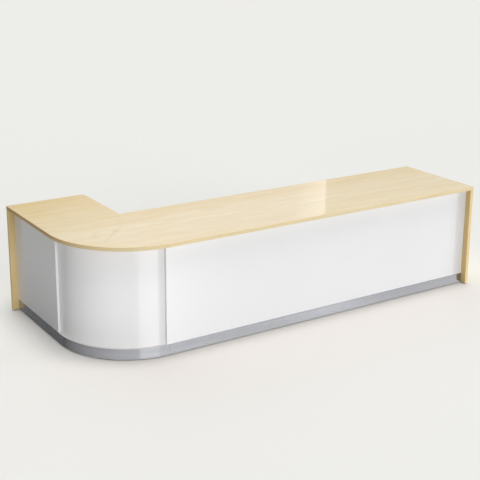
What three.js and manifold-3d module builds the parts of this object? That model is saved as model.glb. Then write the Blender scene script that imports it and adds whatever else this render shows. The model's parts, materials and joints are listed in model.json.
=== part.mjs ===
// A low L-shaped reception desk. The long wing runs along X and the short wing along Y, and the two meet
// in a rounded corner at the front left. Visitors stand in front of it (-Y) and to its left (-X), and the
// receptionist sits in the inner angle. Lengths are millimetres, +Z is up, and the origin lies on the
// floor below the middle of the desk.

import * as THREE from "three";
import { mergeVertices } from "three/addons/utils/BufferGeometryUtils.js";
import Module from "manifold-3d";

const wasm = await Module();
wasm.setup();

// Plan and height
const LONG_WING_LENGTH = 3030;
const SHORT_WING_LENGTH = 1275;
const LONG_WING_DEPTH = 715;
const SHORT_WING_DEPTH = 560;
const CORNER_RADIUS = 548;
const DESK_HEIGHT = 740;

// Boards: the fronts and the plinth are cladding on the carriers, and share one face line
const WORKTOP_THICKNESS = 25;
const END_PANEL_THICKNESS = 25;
const CLADDING_THICKNESS = 18;
const CARRIER_THICKNESS = 18;
const SUPPORT_THICKNESS = 18;
const EDGE_ROUNDING = 1.5;

// Where the boards stand
const FRONT_SETBACK = 44;
const LONG_FRONT_LAP = 15;
const BENT_FRONT_TAIL = 24;
const SUPPORT_SETBACK = 60;
const LONG_WING_BAYS = 2;
const FLOOR_GAP = 6;
const PLINTH_HEIGHT = 69;
const CONTACT_GAP = 0.3;

// Levelling feet: a pad on a threaded stem, which screws up and down in a sleeve let into the board
const FOOT_INSET = 70;
const PAD_DIAMETER = 24;
const PAD_CHAMFER = 0.8;
const COLLAR_WIDTH = 13;
const COLLAR_HEIGHT = 2.2;
const STEM_DIAMETER = 8;
const STEM_LENGTH = 30;
const SLEEVE_DIAMETER = 11;
const SLEEVE_LENGTH = 20;

// Steel angles that hold the worktop down on the boards under it
const ANGLE_INSET = 150;
const ANGLE_LEG = 40;
const ANGLE_WIDTH = 36;
const ANGLE_THICKNESS = 2.5;
const ANGLE_BEND_RADIUS = 2;
const ANGLE_HOLE_DIAMETER = 5;
const ANGLE_HOLE_SPACING = 20;

// Facets of round stretches: each arc of an outline has twice its number of steps
const CORNER_STEPS = 16;
const ROUND_STEPS = 12;
const EDGE_STEPS = 2;
const BEND_STEPS = 2;
const COLLAR_SIDES = 6;

// Heights and lines that several pieces share
const UNDERSIDE = DESK_HEIGHT - WORKTOP_THICKNESS;
const BOARD_TOP = UNDERSIDE - CONTACT_GAP;
const PLINTH_TOP = FLOOR_GAP + PLINTH_HEIGHT;
const CLADDING_BACK = FRONT_SETBACK + CLADDING_THICKNESS;
const CARRIER_FACE = CLADDING_BACK + CONTACT_GAP;
const CARRIER_BACK = CARRIER_FACE + CARRIER_THICKNESS;
const SUPPORT_FRONT = CARRIER_BACK + CONTACT_GAP;
const SHORT_START = CORNER_RADIUS + BENT_FRONT_TAIL;
const SHORT_END = SHORT_WING_LENGTH - END_PANEL_THICKNESS;
const LONG_END = LONG_WING_LENGTH - END_PANEL_THICKNESS;
const SHORT_SUPPORT_REAR = SHORT_WING_DEPTH - SUPPORT_SETBACK;
const LONG_SUPPORT_REAR = LONG_WING_DEPTH - SUPPORT_SETBACK;

const finishes = {
  maple: { color: 0xe8d5a8, roughness: 0.4, metalness: 0 },
  whiteGloss: { color: 0xf1f2f3, roughness: 0.08, metalness: 0 },
  carcassWhite: { color: 0xdfdfdc, roughness: 0.5, metalness: 0 },
  aluminium: { color: 0xbabdc3, roughness: 0.3, metalness: 0.9 },
  zincSteel: { color: 0xa9adb1, roughness: 0.35, metalness: 1 },
  darkPlastic: { color: 0x2c2d2f, roughness: 0.6, metalness: 0 },
};

const desk = new THREE.Group();
desk.position.set(-LONG_WING_LENGTH / 2, -SHORT_WING_LENGTH / 2, 0);

function add(name, geometry, finish) {
  const mesh = new THREE.Mesh(geometry, new THREE.MeshStandardMaterial(finish));
  mesh.name = name;
  desk.add(mesh);
  return mesh;
}

// Joining and cutting closed shapes
function toSolid(geometry) {
  const bare = geometry.clone();
  bare.deleteAttribute("normal");
  bare.deleteAttribute("uv");
  const merged = mergeVertices(bare);
  const vertProperties = new Float32Array(merged.attributes.position.array);
  const triVerts = new Uint32Array(merged.index.array);
  return new wasm.Manifold(new wasm.Mesh({ numProp: 3, vertProperties, triVerts }));
}

function toGeometry(solid) {
  const { vertProperties, triVerts } = solid.getMesh();
  const geometry = new THREE.BufferGeometry();
  geometry.setAttribute("position", new THREE.BufferAttribute(vertProperties, 3));
  geometry.setIndex(new THREE.BufferAttribute(triVerts, 1));
  geometry.computeVertexNormals();
  return geometry;
}

function cut(geometry, tools) {
  const solid = tools.reduce((left, tool) => left.subtract(toSolid(tool)), toSolid(geometry));
  return toGeometry(solid);
}

// A sheet of board cut to an outline, with the edges of both faces rounded
function sheet(outline, thickness) {
  const geometry = new THREE.ExtrudeGeometry(outline, {
    depth: thickness - 2 * EDGE_ROUNDING,
    bevelThickness: EDGE_ROUNDING,
    bevelSize: EDGE_ROUNDING,
    bevelOffset: -EDGE_ROUNDING,
    bevelSegments: EDGE_STEPS,
    curveSegments: CORNER_STEPS,
  });
  return geometry.translate(0, 0, EDGE_ROUNDING);
}

function rectangle(width, height) {
  const outline = new THREE.Shape();
  outline.moveTo(0, 0);
  outline.lineTo(width, 0);
  outline.lineTo(width, height);
  outline.lineTo(0, height);
  outline.closePath();
  return outline;
}

// Upright boards that fill the box between two corners: one faces along Y, the other along X
function boardFacingY([x0, y0, z0], [x1, y1, z1]) {
  const geometry = sheet(rectangle(x1 - x0, z1 - z0), y1 - y0);
  return geometry.rotateX(Math.PI / 2).translate(x0, y1, z0);
}

function boardFacingX([x0, y0, z0], [x1, y1, z1]) {
  const geometry = sheet(rectangle(y1 - y0, z1 - z0), x1 - x0);
  return geometry.rotateX(Math.PI / 2).rotateZ(Math.PI / 2).translate(x0, y0, z0);
}

// A bent upright board, set back from the worktop's edge: a quarter of a tube round the centre of the
// rounded corner, with a straight tail to where the boards of the short wing start
function cornerBoard(setback, thickness, bottom, top) {
  const outer = CORNER_RADIUS - setback;
  const inner = outer - thickness;
  const outline = new THREE.Shape();
  outline.moveTo(setback, SHORT_START);
  outline.lineTo(setback, CORNER_RADIUS);
  outline.absarc(CORNER_RADIUS, CORNER_RADIUS, outer, Math.PI, 1.5 * Math.PI, false);
  outline.absarc(CORNER_RADIUS, CORNER_RADIUS, inner, 1.5 * Math.PI, Math.PI, true);
  outline.lineTo(setback + thickness, SHORT_START);
  outline.closePath();
  return sheet(outline, top - bottom).translate(0, 0, bottom);
}

// Worktop: one L-shaped board, round at the outer corner and square at the inner one
function addWorktop() {
  const outline = new THREE.Shape();
  outline.absarc(CORNER_RADIUS, CORNER_RADIUS, CORNER_RADIUS, Math.PI, 1.5 * Math.PI, false);
  outline.lineTo(LONG_WING_LENGTH, 0);
  outline.lineTo(LONG_WING_LENGTH, LONG_WING_DEPTH);
  outline.lineTo(SHORT_WING_DEPTH, LONG_WING_DEPTH);
  outline.lineTo(SHORT_WING_DEPTH, SHORT_WING_LENGTH);
  outline.lineTo(0, SHORT_WING_LENGTH);
  outline.closePath();
  add("worktop", sheet(outline, WORKTOP_THICKNESS).translate(0, 0, UNDERSIDE), finishes.maple);
}

// White fronts and the plinth. The straight ones butt on the end panels; the bent front has no cladding
// over it, so it lies a board's thickness behind its neighbours and the plinth makes a ledge at its foot.
// The long front laps a little over the end of the bent one.
function addFronts() {
  const bottom = PLINTH_TOP + CONTACT_GAP;
  const short = boardFacingX(
    [FRONT_SETBACK, SHORT_START, bottom],
    [CLADDING_BACK, SHORT_END - CONTACT_GAP, BOARD_TOP],
  );
  const long = boardFacingY(
    [CORNER_RADIUS - LONG_FRONT_LAP, FRONT_SETBACK, bottom],
    [LONG_END - CONTACT_GAP, CLADDING_BACK, BOARD_TOP],
  );
  add("front_short", short, finishes.whiteGloss);
  add("front_long", long, finishes.whiteGloss);
}

function addPlinth() {
  const short = boardFacingX(
    [FRONT_SETBACK, SHORT_START + CONTACT_GAP, FLOOR_GAP],
    [CLADDING_BACK, SHORT_END - CONTACT_GAP, PLINTH_TOP],
  );
  const curved = cornerBoard(FRONT_SETBACK, CLADDING_THICKNESS, FLOOR_GAP, PLINTH_TOP);
  const long = boardFacingY(
    [CORNER_RADIUS + CONTACT_GAP, FRONT_SETBACK, FLOOR_GAP],
    [LONG_END - CONTACT_GAP, CLADDING_BACK, PLINTH_TOP],
  );
  add("plinth_short", short, finishes.aluminium);
  add("plinth_curved", curved, finishes.aluminium);
  add("plinth_long", long, finishes.aluminium);
}

// Carriers: the boards that the straight fronts and plinths are fixed to
function addCarriers() {
  const short = boardFacingX(
    [CARRIER_FACE, SHORT_START + CONTACT_GAP, FLOOR_GAP],
    [CARRIER_BACK, SHORT_END - CONTACT_GAP, BOARD_TOP],
  );
  const long = boardFacingY(
    [CORNER_RADIUS + CONTACT_GAP, CARRIER_FACE, FLOOR_GAP],
    [LONG_END - CONTACT_GAP, CARRIER_BACK, BOARD_TOP],
  );
  add("carrier_short", short, finishes.carcassWhite);
  add("carrier_long", long, finishes.carcassWhite);
}

// A levelling foot stands with the top of its collar just under the board, the stem up in the sleeve
function footGeometry() {
  const height = FLOOR_GAP - CONTACT_GAP;
  const padHeight = height - COLLAR_HEIGHT;
  const padRadius = PAD_DIAMETER / 2;
  const stemRadius = STEM_DIAMETER / 2;
  const stemTop = FLOOR_GAP + STEM_LENGTH;
  const profile = [
    new THREE.Vector2(0, 0),
    new THREE.Vector2(padRadius - PAD_CHAMFER, 0),
    new THREE.Vector2(padRadius, PAD_CHAMFER),
    new THREE.Vector2(padRadius, padHeight - PAD_CHAMFER),
    new THREE.Vector2(padRadius - PAD_CHAMFER, padHeight),
    new THREE.Vector2(stemRadius, padHeight),
    new THREE.Vector2(stemRadius, stemTop - PAD_CHAMFER),
    new THREE.Vector2(stemRadius - PAD_CHAMFER, stemTop),
    new THREE.Vector2(0, stemTop),
  ];
  const turned = new THREE.LatheGeometry(profile, ROUND_STEPS).rotateX(Math.PI / 2);
  const collarRadius = COLLAR_WIDTH / 2 / Math.cos(Math.PI / COLLAR_SIDES);
  const collar = new THREE.CylinderGeometry(collarRadius, collarRadius, height - PAD_CHAMFER, COLLAR_SIDES);
  collar.rotateX(Math.PI / 2).translate(0, 0, (height + PAD_CHAMFER) / 2);
  return toGeometry(toSolid(turned).add(toSolid(collar)));
}

function sleeveGeometry() {
  const inner = STEM_DIAMETER / 2 + CONTACT_GAP;
  const outer = SLEEVE_DIAMETER / 2;
  const profile = [
    new THREE.Vector2(inner, 0),
    new THREE.Vector2(outer, 0),
    new THREE.Vector2(outer, SLEEVE_LENGTH),
    new THREE.Vector2(inner, SLEEVE_LENGTH),
    new THREE.Vector2(inner, 0),
  ];
  return new THREE.LatheGeometry(profile, ROUND_STEPS).rotateX(Math.PI / 2);
}

// The stepped bore that a sleeve and the stem above it need, open at the foot of the board
function footBore(x, y) {
  const wide = SLEEVE_DIAMETER / 2 + CONTACT_GAP;
  const narrow = STEM_DIAMETER / 2 + CONTACT_GAP;
  const profile = [
    new THREE.Vector2(0, -FLOOR_GAP),
    new THREE.Vector2(wide, -FLOOR_GAP),
    new THREE.Vector2(wide, SLEEVE_LENGTH + CONTACT_GAP),
    new THREE.Vector2(narrow, SLEEVE_LENGTH + CONTACT_GAP),
    new THREE.Vector2(narrow, STEM_LENGTH + CONTACT_GAP),
    new THREE.Vector2(0, STEM_LENGTH + CONTACT_GAP),
  ];
  return new THREE.LatheGeometry(profile, ROUND_STEPS).rotateX(Math.PI / 2).translate(x, y, FLOOR_GAP);
}

// A board that stands on feet: its bores are cut, and each gets a sleeve and a foot named after its place
function addStandingBoard(name, geometry, finish, feet) {
  const bores = Object.values(feet).map(([x, y]) => footBore(x, y));
  add(name, cut(geometry, bores), finish);
  for (const [place, [x, y]] of Object.entries(feet)) {
    add(`${name}_sleeve_${place}`, sleeveGeometry(), finishes.zincSteel).position.set(x, y, FLOOR_GAP);
    add(`${name}_foot_${place}`, footGeometry(), finishes.darkPlastic).position.set(x, y, 0);
  }
}

// A bent steel angle in the corner below the worktop, beside a board whose face looks along +X. Its legs
// lie under the worktop and down the board, with two screw holes in each.
function angleGeometry() {
  const bend = ANGLE_THICKNESS + ANGLE_BEND_RADIUS;
  const section = new THREE.Shape();
  section.absarc(bend, -bend, bend, Math.PI, Math.PI / 2, true);
  section.lineTo(ANGLE_LEG, 0);
  section.lineTo(ANGLE_LEG, -ANGLE_THICKNESS);
  section.absarc(bend, -bend, ANGLE_BEND_RADIUS, Math.PI / 2, Math.PI, false);
  section.lineTo(ANGLE_THICKNESS, -ANGLE_LEG);
  section.lineTo(0, -ANGLE_LEG);
  section.closePath();
  const bent = new THREE.ExtrudeGeometry(section, {
    depth: ANGLE_WIDTH,
    bevelEnabled: false,
    curveSegments: BEND_STEPS,
  });
  bent.rotateX(Math.PI / 2).translate(0, ANGLE_WIDTH / 2, 0);
  const holeRadius = ANGLE_HOLE_DIAMETER / 2;
  const holePlace = (bend + ANGLE_LEG) / 2;
  const holes = [];
  for (const along of [-ANGLE_HOLE_SPACING / 2, ANGLE_HOLE_SPACING / 2]) {
    const drill = new THREE.CylinderGeometry(holeRadius, holeRadius, 2 * bend, ROUND_STEPS);
    holes.push(drill.clone().rotateX(Math.PI / 2).translate(holePlace, along, 0));
    holes.push(drill.clone().rotateZ(Math.PI / 2).translate(0, along, -holePlace));
  }
  return cut(bent, holes);
}

// Places an angle against a board's face at (x, y), turned so that it looks out from that face
function addAngle(name, x, y, turn) {
  const holder = new THREE.Group();
  holder.position.set(x, y, BOARD_TOP);
  holder.rotation.z = turn;
  const angle = add(name, angleGeometry(), finishes.zincSteel);
  angle.position.x = CONTACT_GAP;
  holder.add(angle);
  desk.add(holder);
}

const FACING_RIGHT = 0;
const FACING_BACK = Math.PI / 2;
const FACING_LEFT = Math.PI;
const FACING_FRONT = -Math.PI / 2;

// End panels: maple boards that close the two wings, flush with the worktop all round
function addEndPanels() {
  const left = boardFacingY(
    [0, SHORT_END, FLOOR_GAP],
    [SHORT_WING_DEPTH, SHORT_WING_LENGTH, BOARD_TOP],
  );
  const leftMiddle = SHORT_END + END_PANEL_THICKNESS / 2;
  addStandingBoard("end_panel_left", left, finishes.maple, {
    front: [FOOT_INSET, leftMiddle],
    rear: [SHORT_WING_DEPTH - FOOT_INSET, leftMiddle],
  });
  addAngle("end_panel_left_angle_front", ANGLE_INSET, SHORT_END, FACING_FRONT);
  addAngle("end_panel_left_angle_rear", SHORT_WING_DEPTH - ANGLE_INSET, SHORT_END, FACING_FRONT);

  const right = boardFacingX(
    [LONG_END, 0, FLOOR_GAP],
    [LONG_WING_LENGTH, LONG_WING_DEPTH, BOARD_TOP],
  );
  const rightMiddle = LONG_END + END_PANEL_THICKNESS / 2;
  addStandingBoard("end_panel_right", right, finishes.maple, {
    front: [rightMiddle, FOOT_INSET],
    rear: [rightMiddle, LONG_WING_DEPTH - FOOT_INSET],
  });
  addAngle("end_panel_right_angle_front", LONG_END, ANGLE_INSET, FACING_LEFT);
  addAngle("end_panel_right_angle_rear", LONG_END, LONG_WING_DEPTH - ANGLE_INSET, FACING_LEFT);
}

// The bent front of the rounded corner stands in line with the carriers, on one foot in its middle
function addCurvedFront() {
  const bent = cornerBoard(CARRIER_FACE, CARRIER_THICKNESS, FLOOR_GAP, BOARD_TOP);
  const middleRadius = CORNER_RADIUS - CARRIER_FACE - CARRIER_THICKNESS / 2;
  const place = CORNER_RADIUS - middleRadius * Math.SQRT1_2;
  addStandingBoard("front_curved", bent, finishes.whiteGloss, { middle: [place, place] });
}

// Supports: boards square to the fronts, one behind each end of the bent front and one between the bays
// of the long wing
function addShortWingSupport() {
  const low = SHORT_START - SUPPORT_THICKNESS / 2;
  const high = SHORT_START + SUPPORT_THICKNESS / 2;
  const board = boardFacingY([SUPPORT_FRONT, low, FLOOR_GAP], [SHORT_SUPPORT_REAR, high, BOARD_TOP]);
  addStandingBoard("support_short", board, finishes.carcassWhite, {
    front: [SUPPORT_FRONT + FOOT_INSET, SHORT_START],
    rear: [SHORT_SUPPORT_REAR - FOOT_INSET, SHORT_START],
  });
  addAngle("support_short_angle_front", ANGLE_INSET, high, FACING_BACK);
  addAngle("support_short_angle_rear", SHORT_WING_DEPTH - ANGLE_INSET, high, FACING_BACK);
}

function addLongWingSupports() {
  const bay = (LONG_END - CORNER_RADIUS) / LONG_WING_BAYS;
  for (let index = 0; index < LONG_WING_BAYS; index += 1) {
    const name = index === 0 ? "support_corner" : `support_long_${index}`;
    const middle = CORNER_RADIUS + index * bay;
    const low = middle - SUPPORT_THICKNESS / 2;
    const high = middle + SUPPORT_THICKNESS / 2;
    const board = boardFacingX([low, SUPPORT_FRONT, FLOOR_GAP], [high, LONG_SUPPORT_REAR, BOARD_TOP]);
    addStandingBoard(name, board, finishes.carcassWhite, {
      front: [middle, SUPPORT_FRONT + FOOT_INSET],
      rear: [middle, LONG_SUPPORT_REAR - FOOT_INSET],
    });
    addAngle(`${name}_angle_front`, high, ANGLE_INSET, FACING_RIGHT);
    addAngle(`${name}_angle_rear`, high, LONG_WING_DEPTH - ANGLE_INSET, FACING_RIGHT);
    addAngle(`carrier_long_angle_${index + 1}`, middle + bay / 2, CARRIER_BACK, FACING_BACK);
  }
  addAngle("carrier_short_angle", CARRIER_BACK, (SHORT_START + SHORT_END) / 2, FACING_RIGHT);
}

addWorktop();
addFronts();
addCurvedFront();
addCarriers();
addPlinth();
addEndPanels();
addShortWingSupport();
addLongWingSupports();

export default desk;
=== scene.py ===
"""Looks of a low L-shaped reception desk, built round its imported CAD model.

The worktop, the fronts and the plinth are remade with rounded edges and a smooth corner, screws are added
in the steel angles, and every surface gets its finish. Lengths are metres in the frame of the CAD model.
"""

import json
import math

import bmesh
import bpy
from mathutils import Matrix, Vector


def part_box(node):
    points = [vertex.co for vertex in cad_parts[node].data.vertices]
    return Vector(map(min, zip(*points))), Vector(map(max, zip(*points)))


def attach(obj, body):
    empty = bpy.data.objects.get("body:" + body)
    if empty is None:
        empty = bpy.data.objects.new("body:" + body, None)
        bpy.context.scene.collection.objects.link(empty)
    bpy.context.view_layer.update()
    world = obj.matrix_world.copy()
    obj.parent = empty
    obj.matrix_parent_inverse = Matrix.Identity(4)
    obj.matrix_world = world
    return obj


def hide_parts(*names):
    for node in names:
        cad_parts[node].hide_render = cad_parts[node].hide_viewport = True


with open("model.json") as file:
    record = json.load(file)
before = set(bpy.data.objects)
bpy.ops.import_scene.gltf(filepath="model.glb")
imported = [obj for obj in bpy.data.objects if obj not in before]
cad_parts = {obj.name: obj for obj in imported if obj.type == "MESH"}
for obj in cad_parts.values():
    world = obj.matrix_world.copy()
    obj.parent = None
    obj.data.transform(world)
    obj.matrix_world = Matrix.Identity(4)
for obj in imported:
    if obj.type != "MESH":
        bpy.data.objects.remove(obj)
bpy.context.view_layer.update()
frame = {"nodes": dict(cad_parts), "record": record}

# Places that the pieces share, read from the frame
TOP_LOW, TOP_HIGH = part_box("worktop")
PLINTH_LOW, PLINTH_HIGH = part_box("plinth_curved")
BENT_LOW, BENT_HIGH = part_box("front_curved")
LONG_PLINTH_LOW, LONG_PLINTH_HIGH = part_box("plinth_long")
INNER_CORNER = Vector((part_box("end_panel_left")[1].x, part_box("end_panel_right")[1].y))
CORNER_RADIUS = PLINTH_HIGH.x - TOP_LOW.x
CORNER = Vector((TOP_LOW.x + CORNER_RADIUS, TOP_LOW.y + CORNER_RADIUS))
CLADDING_THICKNESS = LONG_PLINTH_HIGH.y - LONG_PLINTH_LOW.y
BENT_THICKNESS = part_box("carrier_long")[1].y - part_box("carrier_long")[0].y
BENT_RADIUS = CORNER.x - BENT_LOW.x
BEND_LENGTH = CORNER_RADIUS * math.pi / 2

# Fine shape of the boards
EDGE_ROUNDING = 0.0015
FRONT_ROUNDING = 0.0008
EDGE_STEPS = 4
ARC_STEPS = 128
SHARP_ANGLE = math.radians(40)
BORE_CLEARANCE = 0.0003
BORE_STEPS = 48

# A face is level up to 45 degrees of tilt, and looks outward within 60 degrees of -X or -Y
LEVEL = math.cos(math.radians(45))
OUTWARD = math.cos(math.radians(60))

# Veins and knots in the worktop's decor near its inner corner: both ends, half width and depth of colour
VEIN_BEND = INNER_CORNER + Vector((-0.125, -0.265))
KNOT = INNER_CORNER + Vector((-0.19, -0.33))
VEINS = (
    (INNER_CORNER + Vector((-0.045, -0.10)), VEIN_BEND, 0.03, 0.12),
    (VEIN_BEND, KNOT, 0.02, 0.22),
    (KNOT, INNER_CORNER + Vector((-0.34, -0.495)), 0.016, 0.32),
    (KNOT, KNOT + Vector((0.015, 0.008)), 0.04, 0.45),
    (INNER_CORNER + Vector((-0.36, -0.39)), INNER_CORNER + Vector((-0.31, -0.31)), 0.04, 0.28),
)

# Painted shade and sheen on the worktop's edge band: darkened on the short wing, which faces away from the
# light, and paled with a painted sheen from near the end of the rounded corner
SHADED_BAND = (0.75, 0.695, 0.664)
SHEEN_BAND = (0.895, 0.97, 1.15)
SHEEN_FROM = 0.82 * BEND_LENGTH

# Painted sheen: the worktop pales and cools toward a line beside the short wing's outer edge
SHEEN_START = TOP_LOW.xy + Vector((0.06, 0.52))
SHEEN_END = TOP_LOW.xy + Vector((0.06, 0.72))
SHEEN_REACH = 0.55
SHEEN_TOP = (1.03, 1.11, 1.35)

# Camera: measured on the photo, whose optical axis lies above the middle of the picture
IMAGE_SIDE = 480
AXIS_ROW = 192
FOCAL_PIXELS = 1037.9
SENSOR_WIDTH = 36.0
CAMERA_PLACE = Vector((-3.8085, -5.7839, 2.6701))
CAMERA_YAW = math.radians(32.853)
CAMERA_PITCH = math.radians(15.361)
CAMERA_ROLL = math.radians(0.367)

# Backdrop and floor: the light that falls on the floor, and the share of its tone that it throws back
BACKDROP = (0.862, 0.85, 0.817)
LIGHT_ON_FLOOR = 1.112
FLOOR_RADIUS = 150.0
FLOOR_SIDES = 64
FLOOR_BOUNCE = 0.45

# The ceiling, dim as a source of light but bright where gloss mirrors it, and the heights of a unit vector
# between which the lower walls turn into the upper walls and these into the ceiling
ZENITH = (0.10, 0.10, 0.10)
MIRRORED_ZENITH = (0.9, 0.9, 0.9)
HORIZON = (-0.02, 0.02)
CEILING_RISE = (0.35, 0.75)

# The studio's walls by azimuth in degrees, from +Y over +X, with their colour; only gloss sees the lower
# walls, which are grey and which the upright faces mirror
FULL_TURN = 360.0
UPPER_WALLS = (
    (0, (0.03, 0.03, 0.03)),
    (21, (0.10, 0.10, 0.10)),
    (26.5, (0.54, 0.73, 1.02)),
    (37, (0.54, 0.73, 1.02)),
    (38, (0.40, 0.56, 0.75)),
    (60, (0.40, 0.50, 0.60)),
    (100, (0.30, 0.30, 0.30)),
    (140, (0.10, 0.10, 0.10)),
    (200, (0.03, 0.03, 0.03)),
    (360, (0.03, 0.03, 0.03)),
)
LOWER_WALL_LEVELS = (
    (0, 0.03),
    (100, 0.98),
    (136, 0.98),
    (139, 0.84),
    (147, 0.84),
    (150, 1.10),
    (165, 1.06),
    (196, 0.92),
    (226, 0.83),
    (313, 0.28),
    (338, 0.03),
    (360, 0.03),
)
LOWER_WALLS = tuple((azimuth, (level, level, level)) for azimuth, level in LOWER_WALL_LEVELS)

# The upper walls as gloss sees them: warm, but clear behind the desk above this rise over the distance
WARM_FOOT = (0.82, 0.68, 0.58)
FOOT_RISE = (0.331, 0.347)

# Lit panels on the walls: first and last azimuth, lowest and highest elevation, level at either side, and
# the share of it that is left at the lower edge
PANELS = (
    (36.0, 37.75, 8.0, 30.0, 0.0, 0.62, 1.0),
    (138.2, 142.0, -60.0, -21.5, 1.2, 1.2, 1.0),
    (167.0, 196.0, -25.0, -17.0, 0.9, 1.3, 1.0),
    (325.0, 352.0, -23.0, -15.5, 0.72, 0.72, 0.05),
)

# A soft spot lamp on the rounded corner, aimed a little above the middle of its front
SPOT_AZIMUTH = 215.0
SPOT_ELEVATION = 2.0
SPOT_DISTANCE = 6.0
SPOT_CONE = math.radians(10.5)
SPOT_RADIUS = 0.3
SPOT_POWER = 370.0
SPOT_LIFT = 0.08

# Far lamps: azimuth, elevation and size in degrees, strength and colour
DAYLIGHT = (0.985, 0.995, 1.01)
WARM = (1.06, 1.0, 0.99)
COOL = (0.82, 1.0, 1.02)
LAMPS = {
    "ceiling": (172.0, 83.5, 31.0, 2.0, WARM),
    "back": (4.0, 50.0, 60.0, 0.95, COOL),
    "front": (180.0, 13.0, 20.0, 1.065, DAYLIGHT),
    "left": (240.0, 4.0, 8.0, 0.40, DAYLIGHT),
    "right": (140.0, 4.0, 8.0, 0.2, DAYLIGHT),
    "side": (118.0, 4.0, 4.0, 1.15, DAYLIGHT),
    "far_side": (108.0, 4.0, 6.0, 0.5, DAYLIGHT),
}


# Node trees
class Nodes:
    """Adds nodes to a tree: inputs are values or sockets, and other settings are the node's own."""

    def __init__(self, tree):
        self.tree = tree

    def add(self, kind, inputs=None, **settings):
        node = self.tree.nodes.new(kind)
        for name, value in settings.items():
            setattr(node, name, value)
        for name, value in (inputs or {}).items():
            self.set(node.inputs[name], value)
        return node

    def set(self, socket, value):
        if isinstance(value, bpy.types.NodeSocket):
            self.tree.links.new(value, socket)
        else:
            socket.default_value = value

    def math(self, operation, *values):
        node = self.add("ShaderNodeMath", operation=operation)
        for socket, value in zip(node.inputs, values):
            self.set(socket, value)
        return node.outputs[0]

    def vector(self, operation, *values):
        node = self.add("ShaderNodeVectorMath", operation=operation)
        for socket, value in zip((socket for socket in node.inputs if socket.enabled), values):
            self.set(socket, value)
        return next(socket for socket in node.outputs if socket.enabled)

    def stretched(self, vector, scale):
        node = self.add("ShaderNodeMapping", {"Vector": vector, "Scale": scale})
        return node.outputs[0]

    def noise(self, vector, scale, detail=3.0, roughness=0.5, distortion=0.0):
        inputs = {
            "Vector": vector,
            "Scale": scale,
            "Detail": detail,
            "Roughness": roughness,
            "Distortion": distortion,
        }
        return self.add("ShaderNodeTexNoise", inputs).outputs["Fac"]

    def spread(self, value, low, high, to_low=0.0, to_high=1.0):
        """Maps the range from low to high to another one, and holds its ends outside."""
        inputs = {
            "Value": value,
            "From Min": low,
            "From Max": high,
            "To Min": to_low,
            "To Max": to_high,
        }
        return self.add("ShaderNodeMapRange", inputs).outputs["Result"]

    def mix(self, factor, first, second, blend="MIX"):
        node = self.add("ShaderNodeMix", data_type="RGBA", blend_type=blend)
        self.set(node.inputs["Factor"], factor)
        self.set(node.inputs["A"], first)
        self.set(node.inputs["B"], second)
        return node.outputs["Result"]

    def bump(self, height, distance):
        inputs = {"Height": height, "Distance": distance}
        return self.add("ShaderNodeBump", inputs).outputs["Normal"]

    def object_place(self):
        return self.add("ShaderNodeTexCoord").outputs["Object"]

    def board_place(self):
        return self.add("ShaderNodeTexCoord").outputs["UV"]


def rgba(red, green, blue):
    return (red, green, blue, 1.0)


def new_material(name, **constants):
    """A material with its shader's constant sockets set, its nodes helper and its shader."""
    material = bpy.data.materials.new(name)
    material.use_nodes = True
    shader = material.node_tree.nodes["Principled BSDF"]
    for socket, value in constants.items():
        shader.inputs[socket.replace("_", " ")].default_value = value
    return material, Nodes(material.node_tree), shader


# The boards' clear coat, over a base that hardly shines by itself
COAT_IOR = 1.5
BASE_SPECULAR = 0.1

# Tones of the maple decor: plain wood, and what lies over it
WOOD = rgba(0.93, 0.745, 0.432)
WOOD_TONES = {
    "bands": rgba(0.882, 0.68, 0.352),
    "figure": rgba(0.83, 0.61, 0.28),
    "flecks": rgba(0.89, 0.64, 0.30),
    "streaks": rgba(0.78, 0.56, 0.25),
    "fibres": rgba(0.75, 0.54, 0.25),
    "pores": rgba(0.60, 0.40, 0.17),
    "blotches": rgba(0.905, 0.705, 0.37),
    "marks": rgba(0.76, 0.50, 0.20),
}


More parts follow.
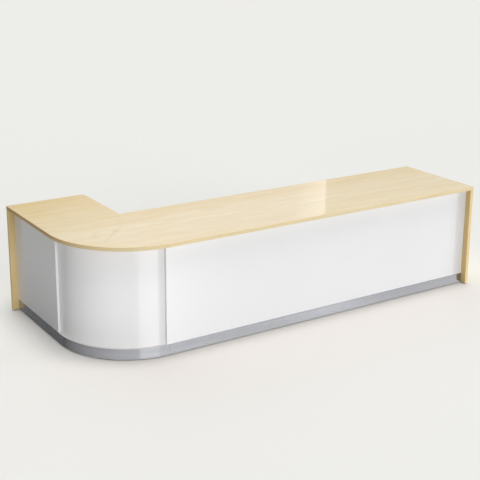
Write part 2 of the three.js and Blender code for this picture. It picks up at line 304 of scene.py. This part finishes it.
def maple(name, place_of, gloss, painted_light_of=None, marks=()):
    """Maple decor, whose grain runs along the first axis of the given place, in metres.

    Marks are darker veins and knots, each with its two ends, half width and depth of colour.
    """
    material, nodes, shader = new_material(
        name,
        Coat_Weight=gloss,
        Coat_Roughness=0.035,
        Coat_IOR=COAT_IOR,
        Specular_IOR_Level=BASE_SPECULAR,
    )
    place = place_of(nodes)
    waver = nodes.noise(nodes.stretched(place, (0.9, 2.4, 1.0)), 1.0, detail=2.0)
    sway = nodes.math("MULTIPLY", nodes.math("SUBTRACT", waver, 0.5), 0.09)
    shift = nodes.add("ShaderNodeCombineXYZ", {"Y": sway}).outputs[0]
    grain = nodes.vector("ADD", place, shift)
    bands = nodes.noise(nodes.stretched(grain, (0.5, 9.0, 1.0)), 1.0, detail=3.0)
    figure = nodes.noise(nodes.stretched(grain, (3.2, 21.0, 1.0)), 1.0, detail=3.0, distortion=0.5)
    flecks = nodes.noise(nodes.stretched(grain, (6.0, 13.0, 1.0)), 1.0, detail=4.0, roughness=0.6)
    streaks = nodes.noise(nodes.stretched(grain, (1.6, 75.0, 1.0)), 1.0, detail=5.0, roughness=0.6)
    fibres = nodes.noise(nodes.stretched(grain, (9.0, 620.0, 1.0)), 1.0, detail=3.0, roughness=0.65)
    pores = nodes.noise(nodes.stretched(place, (38.0, 900.0, 1.0)), 1.0, detail=1.0)
    blotches = nodes.noise(nodes.stretched(place, (1.3, 2.2, 1.0)), 1.0, detail=2.0)

    tone = nodes.mix(nodes.spread(bands, 0.3, 0.7), WOOD, WOOD_TONES["bands"])
    tone = nodes.mix(nodes.spread(figure, 0.42, 0.68, 0.0, 0.6), tone, WOOD_TONES["figure"])
    tone = nodes.mix(nodes.spread(flecks, 0.52, 0.68, 0.0, 0.5), tone, WOOD_TONES["flecks"])
    tone = nodes.mix(nodes.spread(streaks, 0.42, 0.72, 0.0, 0.35), tone, WOOD_TONES["streaks"])
    tone = nodes.mix(nodes.spread(fibres, 0.5, 0.8, 0.0, 0.25), tone, WOOD_TONES["fibres"])
    tone = nodes.mix(nodes.spread(pores, 0.66, 0.78, 0.0, 0.35), tone, WOOD_TONES["pores"])
    tone = nodes.mix(nodes.spread(blotches, 0.35, 0.7, 0.0, 0.3), tone, WOOD_TONES["blotches"])
    for start, end, half_width, depth in marks:
        away = distance_to_line(nodes, grain, start, end)
        tone = nodes.mix(nodes.spread(away, 0.0, half_width, depth, 0.0), tone, WOOD_TONES["marks"])
    # Painted light laid over the decor as a colour multiplier, given per board
    if painted_light_of:
        tone = nodes.mix(1.0, tone, painted_light_of(nodes, place), blend="MULTIPLY")
    nodes.set(shader.inputs["Base Color"], tone)
    nodes.set(shader.inputs["Roughness"], nodes.spread(streaks, 0.3, 0.7, 0.34, 0.46))
    nodes.set(shader.inputs["Normal"], nodes.bump(fibres, 0.00005))
    return material


def distance_to_line(nodes, place, start, end):
    """How far a place in plan lies from the line between two points."""
    run = end - start
    offset = nodes.vector("SUBTRACT", place, start.to_3d())
    along = nodes.vector("DOT_PRODUCT", offset, run.to_3d())
    share = nodes.spread(along, 0.0, run.length_squared)
    nearest = nodes.vector("SCALE", run.to_3d(), share)
    return nodes.vector("LENGTH", nodes.vector("SUBTRACT", offset, nearest))


def band_shade_and_sheen(nodes, place):
    """Painted shade and sheen: the edge band is darkened on the short wing and paled round the corner."""
    along = nodes.add("ShaderNodeSeparateXYZ", {"Vector": place}).outputs["X"]
    return nodes.mix(nodes.spread(along, 0.0, SHEEN_FROM), rgba(*SHADED_BAND), rgba(*SHEEN_BAND))


def top_sheen(nodes, place):
    """Painted sheen: the worktop is paler and cooler near the short wing's outer edge."""
    away = distance_to_line(nodes, place, SHEEN_START, SHEEN_END)
    return nodes.mix(nodes.spread(away, 0.0, SHEEN_REACH), rgba(*SHEEN_TOP), rgba(1.0, 1.0, 1.0))


def along_height(nodes):
    """Upright boards: the grain runs up, and both faces and edges vary across it."""
    parts = nodes.add("ShaderNodeSeparateXYZ", {"Vector": nodes.object_place()}).outputs
    across = nodes.math("ADD", parts["X"], parts["Y"])
    return nodes.add("ShaderNodeCombineXYZ", {"X": parts["Z"], "Y": across}).outputs[0]


def white_gloss():
    material, nodes, shader = new_material(
        "white_gloss",
        Coat_Weight=1.0,
        Coat_Roughness=0.02,
        Coat_IOR=COAT_IOR,
        Specular_IOR_Level=BASE_SPECULAR,
    )
    place = nodes.object_place()
    clouds = nodes.noise(place, 2.3, detail=3.0)
    peel = nodes.noise(place, 130.0, detail=2.0)
    specks = nodes.noise(place, 900.0, detail=1.0)
    tone = nodes.mix(nodes.spread(clouds, 0.3, 0.7), rgba(0.862, 0.862, 0.865), rgba(0.878, 0.878, 0.879))
    nodes.set(shader.inputs["Base Color"], tone)
    nodes.set(shader.inputs["Roughness"], nodes.spread(specks, 0.3, 0.7, 0.28, 0.36))
    nodes.set(shader.inputs["Coat Normal"], nodes.bump(peel, 0.00001))
    return material


def carcass_white():
    material, nodes, shader = new_material("carcass_white")
    place = nodes.object_place()
    clouds = nodes.noise(place, 3.1, detail=3.0)
    pearl = nodes.noise(place, 1400.0, detail=2.0, roughness=0.7)
    tone = nodes.mix(nodes.spread(clouds, 0.3, 0.7), rgba(0.735, 0.735, 0.72), rgba(0.765, 0.765, 0.752))
    nodes.set(shader.inputs["Base Color"], tone)
    nodes.set(shader.inputs["Roughness"], nodes.spread(pearl, 0.3, 0.7, 0.42, 0.58))
    nodes.set(shader.inputs["Normal"], nodes.bump(pearl, 0.00006))
    return material


def plinth_aluminium():
    """Brushed aluminium: fine scratches run along the plinth, so that reflections stretch up and down."""
    material, nodes, shader = new_material(
        "plinth_aluminium",
        Metallic=1.0,
        Anisotropic=1.0,
        Anisotropic_Rotation=0.25,
    )
    place = nodes.board_place()
    scratches = nodes.noise(nodes.stretched(place, (6.0, 2600.0, 1.0)), 1.0, detail=4.0, roughness=0.7)
    bands = nodes.noise(nodes.stretched(place, (1.1, 30.0, 1.0)), 1.0, detail=2.0)
    tone = nodes.mix(nodes.spread(bands, 0.3, 0.7), rgba(0.475, 0.482, 0.505), rgba(0.525, 0.532, 0.555))
    tone = nodes.mix(nodes.spread(scratches, 0.5, 0.8, 0.0, 0.3), tone, rgba(0.41, 0.417, 0.44))
    nodes.set(shader.inputs["Base Color"], tone)
    nodes.set(shader.inputs["Roughness"], nodes.spread(scratches, 0.3, 0.7, 0.19, 0.25))
    nodes.set(shader.inputs["Normal"], nodes.bump(scratches, 0.00002))
    tangent = nodes.add("ShaderNodeTangent", direction_type="UV_MAP")
    nodes.set(shader.inputs["Tangent"], tangent.outputs[0])
    return material


def zinc_steel():
    material, nodes, shader = new_material("zinc_steel", Metallic=1.0)
    place = nodes.object_place()
    spangle = nodes.add("ShaderNodeTexVoronoi", {"Vector": place, "Scale": 260.0}).outputs["Color"]
    grey = nodes.add("ShaderNodeRGBToBW", {"Color": spangle}).outputs[0]
    stains = nodes.noise(place, 35.0, detail=4.0)
    tone = nodes.mix(nodes.spread(grey, 0.2, 0.8), rgba(0.50, 0.51, 0.53), rgba(0.62, 0.63, 0.65))
    tone = nodes.mix(nodes.spread(stains, 0.5, 0.75, 0.0, 0.4), tone, rgba(0.42, 0.42, 0.42))
    nodes.set(shader.inputs["Base Color"], tone)
    nodes.set(shader.inputs["Roughness"], nodes.spread(stains, 0.3, 0.7, 0.28, 0.45))
    nodes.set(shader.inputs["Normal"], nodes.bump(stains, 0.00008))
    return material


def dark_plastic():
    material, nodes, shader = new_material("dark_plastic")
    place = nodes.object_place()
    grain = nodes.noise(place, 1600.0, detail=2.0)
    scuffs = nodes.noise(place, 120.0, detail=4.0)
    black = rgba(0.022, 0.022, 0.024)
    worn = rgba(0.06, 0.06, 0.06)
    tone = nodes.mix(nodes.spread(scuffs, 0.5, 0.8, 0.0, 0.5), black, worn)
    nodes.set(shader.inputs["Base Color"], tone)
    nodes.set(shader.inputs["Roughness"], nodes.spread(grain, 0.3, 0.7, 0.45, 0.65))
    nodes.set(shader.inputs["Normal"], nodes.bump(grain, 0.00008))
    return material


FINISHES = {
    "maple_board": maple("maple_upright", along_height, gloss=0.0),
    "white_gloss": white_gloss(),
    "carcass_white": carcass_white(),
    "plinth_aluminium": plinth_aluminium(),
    "zinc_steel": zinc_steel(),
    "dark_plastic": dark_plastic(),
}
# The worktop carries a painted sheen near the short wing's outer edge
MAPLE_FLAT = maple("maple_flat", Nodes.board_place, gloss=1.0, painted_light_of=top_sheen, marks=VEINS)
# The edge band carries painted shade on the short wing and a painted sheen round the corner
MAPLE_BAND = maple("maple_band", Nodes.board_place, gloss=0.0, painted_light_of=band_shade_and_sheen)


def dress_cad_nodes():
    """Gives each CAD node the finish of its slot in the record."""
    for subpart in frame["record"]["subparts"]:
        mesh = frame["nodes"][subpart["node"]].data
        mesh.materials.clear()
        mesh.materials.append(FINISHES[subpart["material_slot"]])


# Boards
def board(name, outline, bottom, top, place_on_board, material, rounding):
    """An outline in plan, raised between two heights, with its sharp edges rounded."""
    mesh = bpy.data.meshes.new(name)
    shape = bmesh.new()
    ring = [shape.verts.new((x, y, bottom)) for x, y in outline]
    base = shape.faces.new(ring)
    raised = bmesh.ops.extrude_face_region(shape, geom=[base])["geom"]
    lifted = [item for item in raised if isinstance(item, bmesh.types.BMVert)]
    bmesh.ops.translate(shape, vec=(0.0, 0.0, top - bottom), verts=lifted)
    bmesh.ops.recalc_face_normals(shape, faces=shape.faces)
    sharp = [edge for edge in shape.edges if edge.calc_face_angle(0.0) > SHARP_ANGLE]
    bmesh.ops.bevel(
        shape,
        geom=sharp,
        offset=rounding,
        offset_type="OFFSET",
        segments=EDGE_STEPS,
        profile=0.5,
        affect="EDGES",
        clamp_overlap=True,
    )
    layer = shape.loops.layers.uv.new("board")
    for face in shape.faces:
        face.smooth = True
        for loop in face.loops:
            loop[layer].uv = place_on_board(loop.vert.co, face.normal)
    shape.to_mesh(mesh)
    shape.free()
    mesh.materials.append(material)
    piece = bpy.data.objects.new(name, mesh)
    bpy.context.scene.collection.objects.link(piece)
    normals = piece.modifiers.new("flat_faces", "WEIGHTED_NORMAL")
    normals.keep_sharp = True
    return piece


def corner_arc(radius, forward=True):
    """Points of the rounded corner in plan, from the short wing to the long wing or back."""
    turns = [math.pi + math.pi / 2 * step / ARC_STEPS for step in range(ARC_STEPS + 1)]
    points = [(CORNER.x + radius * math.cos(a), CORNER.y + radius * math.sin(a)) for a in turns]
    return points if forward else points[::-1]


def length_along_edge(place):
    """How far a point of the desk's outer edge lies along it, from the start of the rounded corner."""
    if place.x < CORNER.x and place.y < CORNER.y:
        turn = math.atan2(CORNER.y - place.y, CORNER.x - place.x)
        return turn * CORNER_RADIUS
    if place.y >= CORNER.y:
        return CORNER.y - place.y
    return BEND_LENGTH + place.x - CORNER.x


def is_upright(normal):
    return abs(normal.z) < LEVEL


def looks_up(normal):
    return normal.z > LEVEL


def looks_outward(normal):
    """Whether a face of the worktop's edge looks toward the visitors' side, along -X or -Y."""
    return min(normal.x, normal.y) < -OUTWARD


def place_on_worktop(place, normal):
    """The decor lies along X on the faces, and along the edge on the edge band."""
    if not is_upright(normal):
        return place.x, place.y
    if looks_outward(normal):
        return length_along_edge(place), place.z
    return TOP_LOW.x - place.x + TOP_LOW.y - place.y, place.z


def depth_behind_edge(place):
    """How far a point lies in from the desk's outer edge."""
    if place.x < CORNER.x and place.y < CORNER.y:
        return CORNER_RADIUS - (place.xy - CORNER).length
    if place.y >= CORNER.y:
        return place.x - TOP_LOW.x
    return place.y - TOP_LOW.y


def place_on_strip(place, normal):
    """Along the strip and up it; on its top and bottom, along and across."""
    if is_upright(normal):
        return length_along_edge(place), place.z
    return length_along_edge(place), depth_behind_edge(place)


def corner_strip(name, low, high, thickness, material, rounding):
    """A bent upright board round the corner, with the straight tail of its CAD node on the short wing."""
    outer = CORNER.x - low.x
    tail_end = [(low.x + thickness, high.y), (low.x, high.y)]
    outline = corner_arc(outer) + corner_arc(outer - thickness, forward=False) + tail_end
    return board(name, outline, low.z, high.z, place_on_strip, material, rounding)


def straight_strip(name, low, high, material, rounding):
    outline = ((low.x, low.y), (high.x, low.y), (high.x, high.y), (low.x, high.y))
    return board(name, outline, low.z, high.z, place_on_strip, material, rounding)


def drill(piece, sleeve, foot):
    """Cuts the round hole that a sleeve and the stem of its foot need into the lower edge of a piece."""
    low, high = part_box(sleeve)
    radius = (high.x - low.x) / 2 + BORE_CLEARANCE
    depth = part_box(foot)[1].z + BORE_CLEARANCE - low.z
    shape = bmesh.new()
    bmesh.ops.create_cone(
        shape,
        cap_ends=True,
        segments=BORE_STEPS,
        radius1=radius,
        radius2=radius,
        depth=2 * depth,
    )
    mesh = bpy.data.meshes.new("bore")
    shape.to_mesh(mesh)
    shape.free()
    drum = bpy.data.objects.new("bore", mesh)
    drum.location = ((low.x + high.x) / 2, (low.y + high.y) / 2, low.z)
    bpy.context.scene.collection.objects.link(drum)
    bore = piece.modifiers.new("bore", "BOOLEAN")
    bore.object = drum
    with bpy.context.temp_override(object=piece):
        bpy.ops.object.modifier_apply(modifier=bore.name)
    bpy.data.objects.remove(drum)
    bpy.data.meshes.remove(mesh)


def stand_in(piece, node):
    """The piece takes the place of a CAD node of the desk's fixed body."""
    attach(piece, "desk")
    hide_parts(node)


def dress_faces(piece, material, wanted):
    """Gives the faces with a wanted normal a finish of their own."""
    piece.data.materials.append(material)
    for face in piece.data.polygons:
        face.material_index = int(wanted(face.normal))


def make_worktop():
    outline = corner_arc(CORNER_RADIUS) + [
        (TOP_HIGH.x, TOP_LOW.y),
        (TOP_HIGH.x, INNER_CORNER.y),
        (INNER_CORNER.x, INNER_CORNER.y),
        (INNER_CORNER.x, TOP_HIGH.y),
        (TOP_LOW.x, TOP_HIGH.y),
    ]
    piece = board(
        "worktop_board",
        outline,
        TOP_LOW.z,
        TOP_HIGH.z,
        place_on_worktop,
        MAPLE_FLAT,
        EDGE_ROUNDING,
    )
    dress_faces(piece, MAPLE_BAND, is_upright)
    stand_in(piece, "worktop")


def make_fronts():
    gloss = FINISHES["white_gloss"]
    bent = corner_strip("bent_front", BENT_LOW, BENT_HIGH, BENT_THICKNESS, gloss, FRONT_ROUNDING)
    drill(bent, "front_curved_sleeve_middle", "front_curved_foot_middle")
    stand_in(bent, "front_curved")
    for node in ("front_short", "front_long"):
        piece = straight_strip(node + "_board", *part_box(node), gloss, FRONT_ROUNDING)
        stand_in(piece, node)


def make_plinth():
    metal = FINISHES["plinth_aluminium"]
    bent = corner_strip("plinth_bend", PLINTH_LOW, PLINTH_HIGH, CLADDING_THICKNESS, metal, FRONT_ROUNDING)
    # Painted reflection: the bend's upward face takes the white carcass finish, so that it looks as pale
    # as the white front it mirrors
    dress_faces(bent, FINISHES["carcass_white"], looks_up)
    stand_in(bent, "plinth_curved")
    for node in ("plinth_short", "plinth_long"):
        piece = straight_strip(node + "_strip", *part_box(node), metal, FRONT_ROUNDING)
        stand_in(piece, node)


# Screws: a domed head with a four-lobed recess, in every hole of the steel angles; the holes' spacing and
# the angles' thickness and bend are those of the CAD model
HEAD_RADIUS = 0.0044
HEAD_HEIGHT = 0.0026
RECESS_RADIUS = 0.0017
RECESS_DEPTH = 0.0014
RECESS_LOBES = 0.42
RECESS_TAPER = 0.8
RECESS_RIM = 0.0003
LOBE_COUNT = 4
SCREW_STEPS = 32
DOME_STEPS = 6
HOLE_SPACING = 0.020
ANGLE_THICKNESS = 0.0025
ANGLE_BEND = 0.0045


def ring_of(shape, height, radius_at):
    """A ring of points at a height, whose radius may change with the turn round the screw."""
    ring = []
    for step in range(SCREW_STEPS):
        turn = 2 * math.pi * step / SCREW_STEPS
        radius = radius_at(turn)
        ring.append(shape.verts.new((radius * math.cos(turn), radius * math.sin(turn), height)))
    return ring


def recess_at(turn):
    return RECESS_RADIUS * (1 + RECESS_LOBES * math.cos(LOBE_COUNT * turn))


def screw_head(shape, placing):
    """Adds one closed screw head, with its foot at the placing's origin and its top along its Z."""
    rings = []
    rim = RECESS_RADIUS * (1 + RECESS_LOBES) + RECESS_RIM
    for step in range(DOME_STEPS + 1):
        rise = math.pi / 2 * step / DOME_STEPS
        radius = rim + (HEAD_RADIUS - rim) * math.cos(rise)
        rings.append(ring_of(shape, HEAD_HEIGHT * math.sin(rise), lambda turn, r=radius: r))
    rings.append(ring_of(shape, HEAD_HEIGHT, recess_at))
    rings.append(ring_of(shape, HEAD_HEIGHT - RECESS_DEPTH, lambda turn: RECESS_TAPER * recess_at(turn)))
    for lower, upper in zip(rings, rings[1:]):
        for step in range(SCREW_STEPS):
            following = (step + 1) % SCREW_STEPS
            shape.faces.new((lower[step], lower[following], upper[following], upper[step]))
    shape.faces.new(rings[0][::-1])
    shape.faces.new(rings[-1])
    for vert in (vert for ring in rings for vert in ring):
        vert.co = placing @ vert.co


def facing_of(node):
    """The way an angle looks out from its board: away from the leg that hangs down."""
    low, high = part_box(node)
    points = [vert.co for vert in frame["nodes"][node].data.vertices]
    lowest = [point for point in points if point.z < low.z + ANGLE_THICKNESS]
    hanging = sum(lowest, Vector()) / len(lowest)
    away = (low + high) / 2 - hanging
    if abs(away.x) > abs(away.y):
        return Vector((math.copysign(1.0, away.x), 0.0, 0.0))
    return Vector((0.0, math.copysign(1.0, away.y), 0.0))


def make_screws(node):
    """Two screws in each leg of an angle; the sides of a head are smooth and its ends flat."""
    low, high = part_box(node)
    middle = (low + high) / 2
    out = facing_of(node)
    side = Vector((-out.y, out.x, 0.0))
    leg = high.z - low.z
    corner = Vector((middle.x, middle.y, high.z)) - out * leg / 2
    along_leg = (ANGLE_BEND + leg) / 2
    down = Vector((0.0, 0.0, -1.0))
    shape = bmesh.new()
    for offset in (-HOLE_SPACING / 2, HOLE_SPACING / 2):
        for leg_way, head_way in ((out, down), (down, out)):
            foot = corner + side * offset + leg_way * along_leg + head_way * ANGLE_THICKNESS
            turned = head_way.to_track_quat("Z", "Y").to_matrix().to_4x4()
            screw_head(shape, Matrix.Translation(foot) @ turned)
    bmesh.ops.recalc_face_normals(shape, faces=shape.faces)
    for face in shape.faces:
        face.smooth = len(face.verts) == 4
    mesh = bpy.data.meshes.new(node + "_screws")
    shape.to_mesh(mesh)
    shape.free()
    mesh.set_sharp_from_angle(angle=SHARP_ANGLE)
    mesh.materials.append(FINISHES["zinc_steel"])
    piece = bpy.data.objects.new(node + "_screws", mesh)
    bpy.context.scene.collection.objects.link(piece)
    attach(piece, "desk")


# Camera and studio
def make_camera():
    data = bpy.data.cameras.new("camera")
    data.sensor_width = SENSOR_WIDTH
    data.lens = SENSOR_WIDTH * FOCAL_PIXELS / IMAGE_SIDE
    data.shift_y = AXIS_ROW / IMAGE_SIDE - 0.5
    camera = bpy.data.objects.new("camera", data)
    heading = Matrix.Rotation(-CAMERA_YAW, 4, "Z")
    tilt = Matrix.Rotation(math.pi / 2 - CAMERA_PITCH, 4, "X")
    roll = Matrix.Rotation(CAMERA_ROLL, 4, "Z")
    camera.matrix_world = Matrix.Translation(CAMERA_PLACE) @ heading @ tilt @ roll
    bpy.context.scene.collection.objects.link(camera)
    bpy.context.scene.camera = camera


def make_floor():
    """A wide pale floor: the camera sees it as bright as the backdrop, and it throws less light back."""
    mesh = bpy.data.meshes.new("floor")
    shape = bmesh.new()
    bmesh.ops.create_circle(shape, cap_ends=True, segments=FLOOR_SIDES, radius=FLOOR_RADIUS)
    shape.to_mesh(mesh)
    shape.free()
    floor = bpy.data.objects.new("floor", mesh)
    bpy.context.scene.collection.objects.link(floor)
    material, nodes, shader = new_material("floor", Specular_IOR_Level=0.0, Roughness=1.0)
    seen = nodes.add("ShaderNodeLightPath").outputs["Is Camera Ray"]
    tone = [channel / LIGHT_ON_FLOOR for channel in BACKDROP]
    dim = [FLOOR_BOUNCE * channel for channel in tone]
    nodes.set(shader.inputs["Base Color"], nodes.mix(seen, rgba(*dim), rgba(*tone)))
    mesh.materials.append(material)
    floor.visible_glossy = False


def wall_ramp(nodes, azimuth, walls):
    """Colour by azimuth; a ramp's colours go up to 1, so its output is scaled by the brightest one."""
    brightest = max(max(colour) for _, colour in walls)
    node = nodes.add("ShaderNodeValToRGB", {"Fac": nodes.math("DIVIDE", azimuth, FULL_TURN)})
    stops = node.color_ramp.elements
    while len(stops) < len(walls):
        stops.new(0.5)
    for stop, (degrees, colour) in zip(stops, walls):
        stop.position = degrees / FULL_TURN
        stop.color = rgba(*(channel / brightest for channel in colour))
    return nodes.vector("SCALE", node.outputs["Color"], brightest)


def lit_panel(nodes, azimuth, height, first, last, lowest, highest, at_first, at_last, share_below):
    """The level of a panel between two azimuths and two elevations, running evenly from edge to edge."""
    low, high = (math.sin(math.radians(angle)) for angle in (lowest, highest))
    level = nodes.spread(azimuth, first, last, at_first, at_last)
    level = nodes.math("MULTIPLY", level, nodes.spread(height, low, high, share_below, 1.0))
    for value, limit in ((azimuth, first), (height, low)):
        level = nodes.math("MULTIPLY", level, nodes.math("GREATER_THAN", value, limit))
    for value, limit in ((azimuth, last), (height, high)):
        level = nodes.math("MULTIPLY", level, nodes.math("LESS_THAN", value, limit))
    return level


def make_world():
    """A studio with a dark left side and lit panels, of which the camera sees only the backdrop."""
    world = bpy.data.worlds.new("studio")
    bpy.context.scene.world = world
    world.use_nodes = True
    nodes = Nodes(world.node_tree)
    background = world.node_tree.nodes["Background"]
    direction = nodes.add("ShaderNodeTexCoord").outputs["Generated"]
    parts = nodes.add("ShaderNodeSeparateXYZ", {"Vector": direction}).outputs
    height = parts["Z"]
    turn = nodes.math("DEGREES", nodes.math("ARCTAN2", parts["X"], parts["Y"]))
    azimuth = nodes.math("FLOORED_MODULO", turn, FULL_TURN)
    upper = wall_ramp(nodes, azimuth, UPPER_WALLS)
    lower = wall_ramp(nodes, azimuth, LOWER_WALLS)
    ray = nodes.add("ShaderNodeLightPath").outputs
    above_foot = nodes.spread(nodes.math("DIVIDE", height, parts["Y"]), *FOOT_RISE)
    warmed = nodes.math("MULTIPLY", ray["Is Glossy Ray"], nodes.math("SUBTRACT", 1.0, above_foot))
    upper = nodes.mix(warmed, upper, nodes.mix(1.0, upper, rgba(*WARM_FOOT), blend="MULTIPLY"))
    walls = nodes.mix(nodes.spread(height, *HORIZON), lower, upper)
    zenith = nodes.mix(ray["Is Glossy Ray"], rgba(*ZENITH), rgba(*MIRRORED_ZENITH))
    studio = nodes.mix(nodes.spread(height, *CEILING_RISE), walls, zenith)
    for panel in PANELS:
        studio = nodes.mix(1.0, studio, lit_panel(nodes, azimuth, height, *panel), blend="ADD")
    nodes.set(background.inputs["Color"], nodes.mix(ray["Is Camera Ray"], studio, rgba(*BACKDROP)))
    background.inputs["Strength"].default_value = 1.0


def direction_to(azimuth, elevation):
    turn = math.radians(azimuth)
    rise = math.radians(elevation)
    return Vector((math.sin(turn) * math.cos(rise), math.cos(turn) * math.cos(rise), math.sin(rise)))


def place_lamp(data, toward, place):
    """Stands a lamp that shines back along a direction; gloss mirrors the walls, not the lamps."""
    lamp = bpy.data.objects.new(data.name, data)
    lamp.location = place
    lamp.rotation_mode = "QUATERNION"
    lamp.rotation_quaternion = toward.to_track_quat("Z", "Y")
    lamp.visible_glossy = False
    bpy.context.scene.collection.objects.link(lamp)


def make_far_lamp(name, azimuth, elevation, size, strength, colour):
    data = bpy.data.lights.new(name, "SUN")
    data.energy = strength
    data.color = colour
    data.angle = math.radians(size)
    place_lamp(data, direction_to(azimuth, elevation), Vector())


def make_spot():
    data = bpy.data.lights.new("spot", "SPOT")
    data.energy = SPOT_POWER
    data.shadow_soft_size = SPOT_RADIUS
    data.spot_size = SPOT_CONE
    data.spot_blend = 1.0
    toward = direction_to(SPOT_AZIMUTH, SPOT_ELEVATION)
    middle = CORNER - Vector((BENT_RADIUS, BENT_RADIUS)) * math.sqrt(0.5)
    aim = Vector((middle.x, middle.y, (BENT_LOW.z + BENT_HIGH.z) / 2 + SPOT_LIFT))
    place_lamp(data, toward, aim + SPOT_DISTANCE * toward)


# The scene, put together
bpy.context.scene.view_settings.view_transform = "Standard"
dress_cad_nodes()
make_worktop()
make_fronts()
make_plinth()
for name in frame["nodes"]:
    if "_angle" in name:
        make_screws(name)
make_camera()
make_floor()
make_world()
for name, setting in LAMPS.items():
    make_far_lamp(name, *setting)
make_spot()
